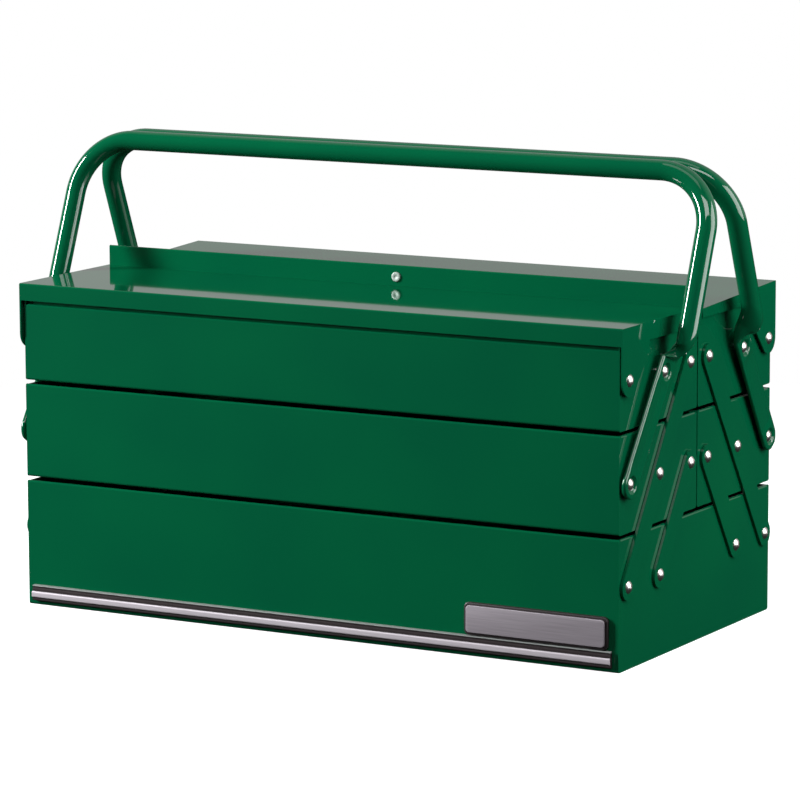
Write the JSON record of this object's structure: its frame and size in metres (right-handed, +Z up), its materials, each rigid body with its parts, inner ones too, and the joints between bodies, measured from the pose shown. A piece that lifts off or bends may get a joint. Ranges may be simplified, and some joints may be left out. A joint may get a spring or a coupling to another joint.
{
  "type": "cantilever tool box",
  "caption": "Steel tool box whose stacked trays swing out level on parallel links when the twin tube handles are pulled apart, with hinged lids over the top trays.",
  "frame": {"origin": "centre of the box's footprint, on the underside of the bottom tray", "axes": "+X along the box to the right end, -Y to the front with the trim strip, +Z up"},
  "size_m": [0.4414, 0.2051, 0.2811],
  "materials": {
    "green_enamel": "gloss green enamel on sheet steel",
    "bright_rivet": "bright zinc-plated domed rivets",
    "black_strip": "gloss black trim",
    "silver_band": "satin silver band",
    "blank_plate": "brushed pewter plate, blank"
  },
  "bodies": {
    "box_body": {"bottom_tray": "green_enamel", "bottom_end_left": "green_enamel", "bottom_end_right": "green_enamel", "trim_strip": "black_strip", "trim_band": "silver_band", "name_plate": "blank_plate", "rivets_bottom": "bright_rivet"},
    "long_links_front": {"long_link_front_left": "green_enamel", "long_link_front_right": "green_enamel"},
    "short_links_front": {"short_link_front_left": "green_enamel", "short_link_front_right": "green_enamel"},
    "middle_front": {"middle_tray_front": "green_enamel", "middle_end_front_left": "green_enamel", "middle_end_front_right": "green_enamel", "rivets_middle_front": "bright_rivet"},
    "top_front": {"top_tray_front": "green_enamel", "top_end_front_left": "green_enamel", "top_end_front_right": "green_enamel", "rivets_top_front": "bright_rivet"},
    "grip_front": {"handle_front": "green_enamel"},
    "cover_front": {"lid_front": "green_enamel", "lid_end_front_left": "green_enamel", "lid_end_front_right": "green_enamel", "latch_plate": "green_enamel", "flange_rivet": "bright_rivet"},
    "long_links_rear": {"long_link_rear_left": "green_enamel", "long_link_rear_right": "green_enamel"},
    "short_links_rear": {"short_link_rear_left": "green_enamel", "short_link_rear_right": "green_enamel"},
    "middle_rear": {"middle_tray_rear": "green_enamel", "middle_end_rear_left": "green_enamel", "middle_end_rear_right": "green_enamel", "rivets_middle_rear": "bright_rivet"},
    "top_rear": {"top_tray_rear": "green_enamel", "top_end_rear_left": "green_enamel", "top_end_rear_right": "green_enamel", "rivets_top_rear": "bright_rivet"},
    "grip_rear": {"handle_rear": "green_enamel"},
    "cover_rear": {"lid_rear": "green_enamel", "lid_end_rear_left": "green_enamel", "lid_end_rear_right": "green_enamel"}
  },
  "joints": [
    {"name": "front_open", "type": "hinge", "parent": "box_body", "child": "long_links_front", "pos_m": [0, -0.0912, 0.0482], "axis": [1, 0, 0], "range_deg": [0, 70]},
    {"name": "front_short_links_turn", "type": "hinge", "parent": "box_body", "child": "short_links_front", "pos_m": [0, -0.0506, 0.0482], "axis": [1, 0, 0], "range_deg": [-0.5, 70.5]},
    {"name": "front_middle_tray_level", "type": "hinge", "parent": "long_links_front", "child": "middle_front", "pos_m": [0, -0.0518, 0.1072], "axis": [1, 0, 0], "range_deg": [-70.5, 0.5]},
    {"name": "front_top_tray_level", "type": "hinge", "parent": "long_links_front", "child": "top_front", "pos_m": [0, -0.0124, 0.1662], "axis": [1, 0, 0], "range_deg": [-70.5, 0.5]},
    {"name": "front_handle_turn", "type": "hinge", "parent": "middle_front", "child": "grip_front", "pos_m": [0, -0.092, 0.1072], "axis": [1, 0, 0], "range_deg": [-0.5, 70.5]},
    {"name": "front_lid_open", "type": "hinge", "parent": "top_front", "child": "cover_front", "pos_m": [0, -0.0924, 0.1662], "axis": [1, 0, 0], "range_deg": [0, 84]},
    {"name": "rear_open", "type": "hinge", "parent": "box_body", "child": "long_links_rear", "pos_m": [0, 0.0912, 0.0482], "axis": [-1, 0, 0], "range_deg": [0, 70]},
    {"name": "rear_short_links_turn", "type": "hinge", "parent": "box_body", "child": "short_links_rear", "pos_m": [0, 0.0506, 0.0482], "axis": [-1, 0, 0], "range_deg": [-0.5, 70.5]},
    {"name": "rear_middle_tray_level", "type": "hinge", "parent": "long_links_rear", "child": "middle_rear", "pos_m": [0, 0.0518, 0.1072], "axis": [-1, 0, 0], "range_deg": [-70.5, 0.5]},
    {"name": "rear_top_tray_level", "type": "hinge", "parent": "long_links_rear", "child": "top_rear", "pos_m": [0, 0.0124, 0.1662], "axis": [-1, 0, 0], "range_deg": [-70.5, 0.5]},
    {"name": "rear_handle_turn", "type": "hinge", "parent": "middle_rear", "child": "grip_rear", "pos_m": [0, 0.092, 0.1072], "axis": [-1, 0, 0], "range_deg": [-0.5, 70.5]},
    {"name": "rear_lid_open", "type": "hinge", "parent": "top_rear", "child": "cover_rear", "pos_m": [0, 0.0924, 0.1662], "axis": [-1, 0, 0], "range_deg": [0, 84]}
  ],
  "couplings": [
    {"joint": "front_short_links_turn", "follows": "front_open", "ratio": 1},
    {"joint": "front_middle_tray_level", "follows": "front_open", "ratio": -1},
    {"joint": "front_top_tray_level", "follows": "front_open", "ratio": -1},
    {"joint": "front_handle_turn", "follows": "front_open", "ratio": 1},
    {"joint": "rear_short_links_turn", "follows": "rear_open", "ratio": 1},
    {"joint": "rear_middle_tray_level", "follows": "rear_open", "ratio": -1},
    {"joint": "rear_top_tray_level", "follows": "rear_open", "ratio": -1},
    {"joint": "rear_handle_turn", "follows": "rear_open", "ratio": 1}
  ]
}
